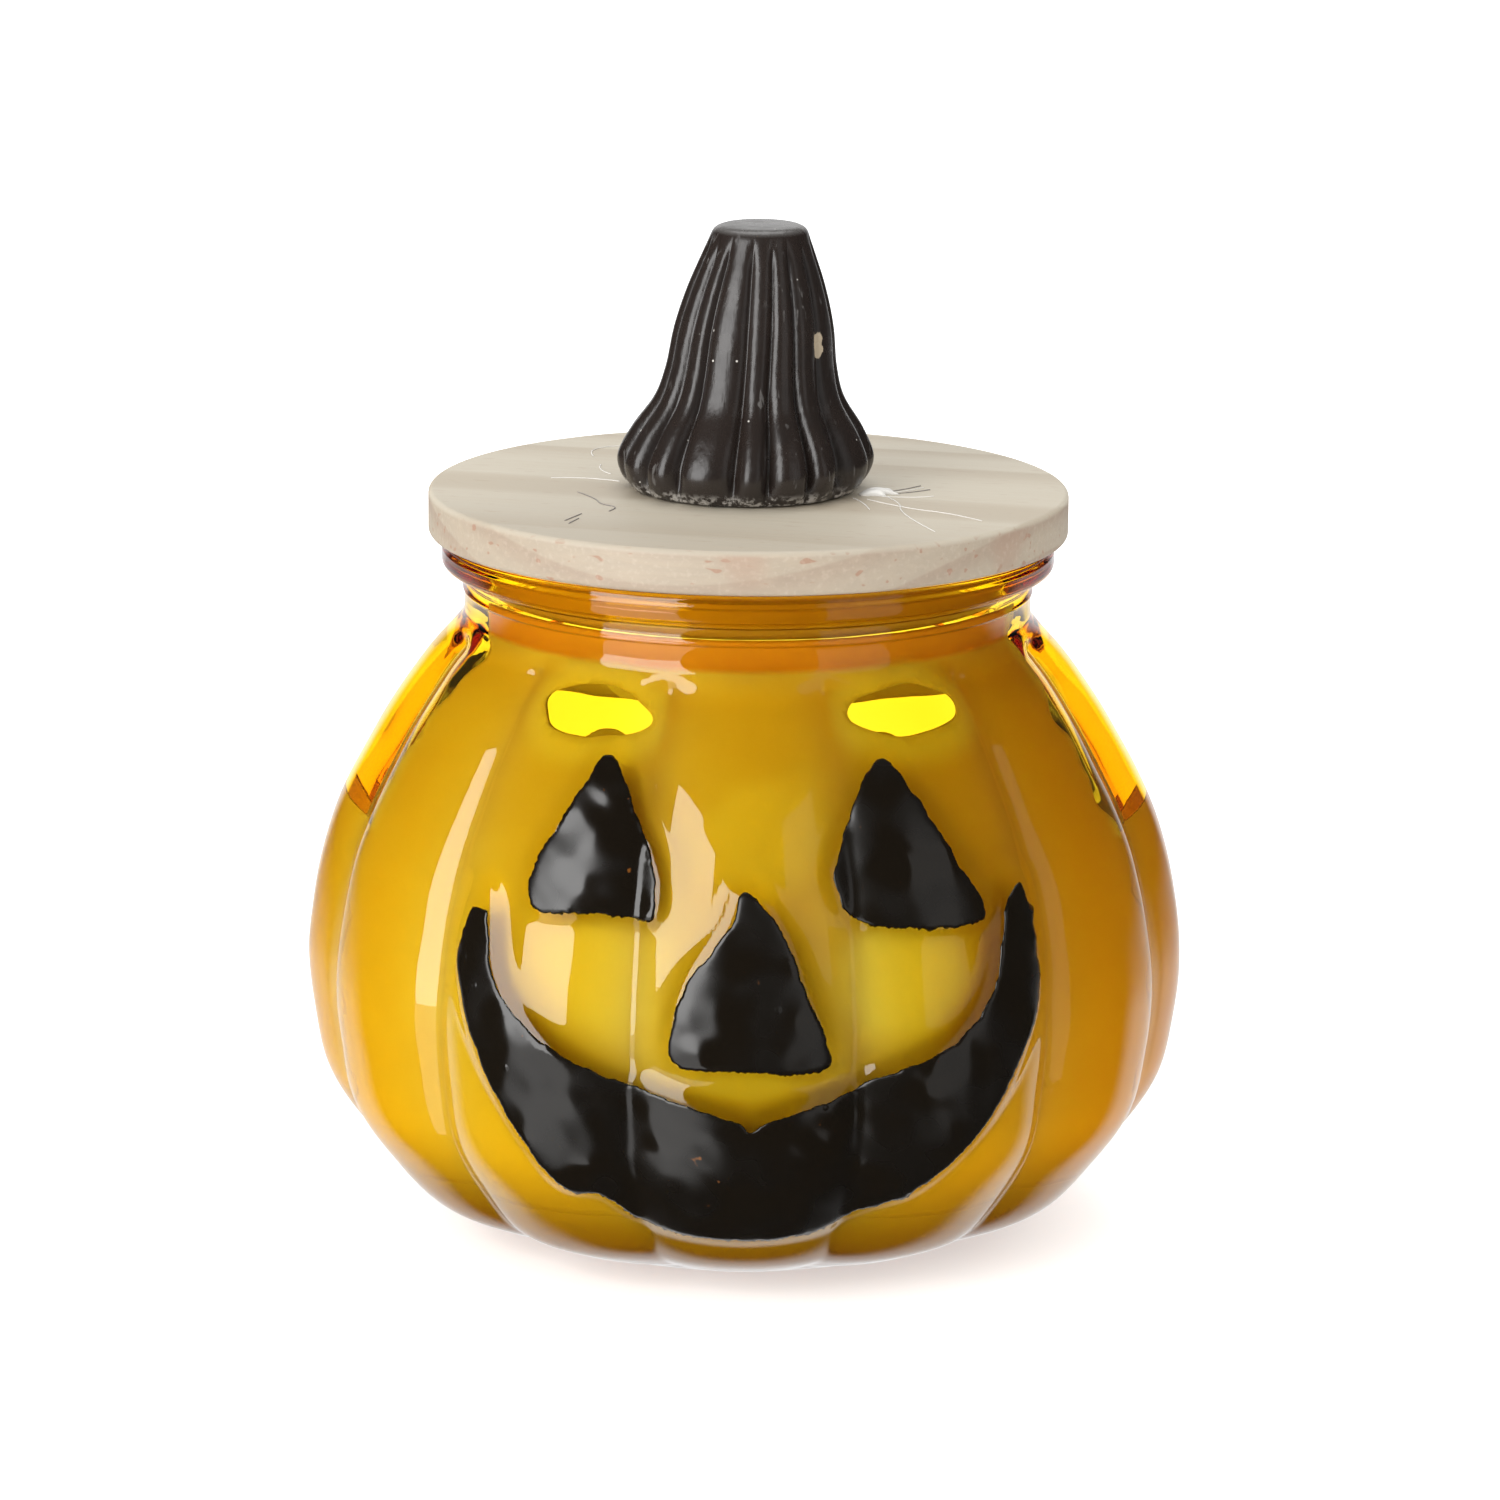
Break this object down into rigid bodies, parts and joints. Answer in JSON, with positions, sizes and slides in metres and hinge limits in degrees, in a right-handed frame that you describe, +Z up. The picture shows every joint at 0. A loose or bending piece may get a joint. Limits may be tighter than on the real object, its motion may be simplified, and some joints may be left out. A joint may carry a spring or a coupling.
{
  "type": "pumpkin candle jar",
  "caption": "Lobed round glass candle jar shaped as a pumpkin, with a raised black face, poured wax and wick, and a flat wooden lid with a fluted stem knob.",
  "frame": {"origin": "on the jar's axis, in the plane of its foot ring, where it stands", "axes": "+Z up along the jar's axis to the stem, -Y the way the face looks, +X to the right as seen facing the face"},
  "size_m": [0.12, 0.1215, 0.1382],
  "materials": {
    "amber_glass": "clear amber-yellow pressed glass, glossy",
    "black_enamel": "thick glossy black enamel paint",
    "wax": "smooth ivory candle wax",
    "cotton_braid": "waxed cotton braid",
    "tin_plate": "bright pressed tin plate",
    "foam_sticker": "white foam adhesive",
    "pine": "bare sanded pale pine",
    "silicone": "translucent milky silicone",
    "stem_brown": "satin dark brown paint on cast resin",
    "hot_melt": "milky hot-melt glue"
  },
  "bodies": {
    "jar": {"glass_jar": "amber_glass", "left_eye_paint": "black_enamel", "right_eye_paint": "black_enamel", "nose_paint": "black_enamel", "mouth_paint": "black_enamel", "candle_wax": "wax", "wick": "cotton_braid", "wick_sustainer": "tin_plate", "wick_sticker": "foam_sticker"},
    "seal": {"seal_ring": "silicone"},
    "lid": {"wood_lid": "pine", "stem_knob": "stem_brown", "glue_pad": "hot_melt"}
  },
  "joints": [
    {"name": "lid_lift", "type": "slide", "parent": "jar", "child": "seal", "axis": [0, 0, 1], "range_m": [0, 0.06]},
    {"name": "lid_turn", "type": "hinge", "parent": "seal", "child": "lid", "pos_m": [0, 0, 0.0992], "axis": [0, 0, 1], "continuous": true}
  ]
}
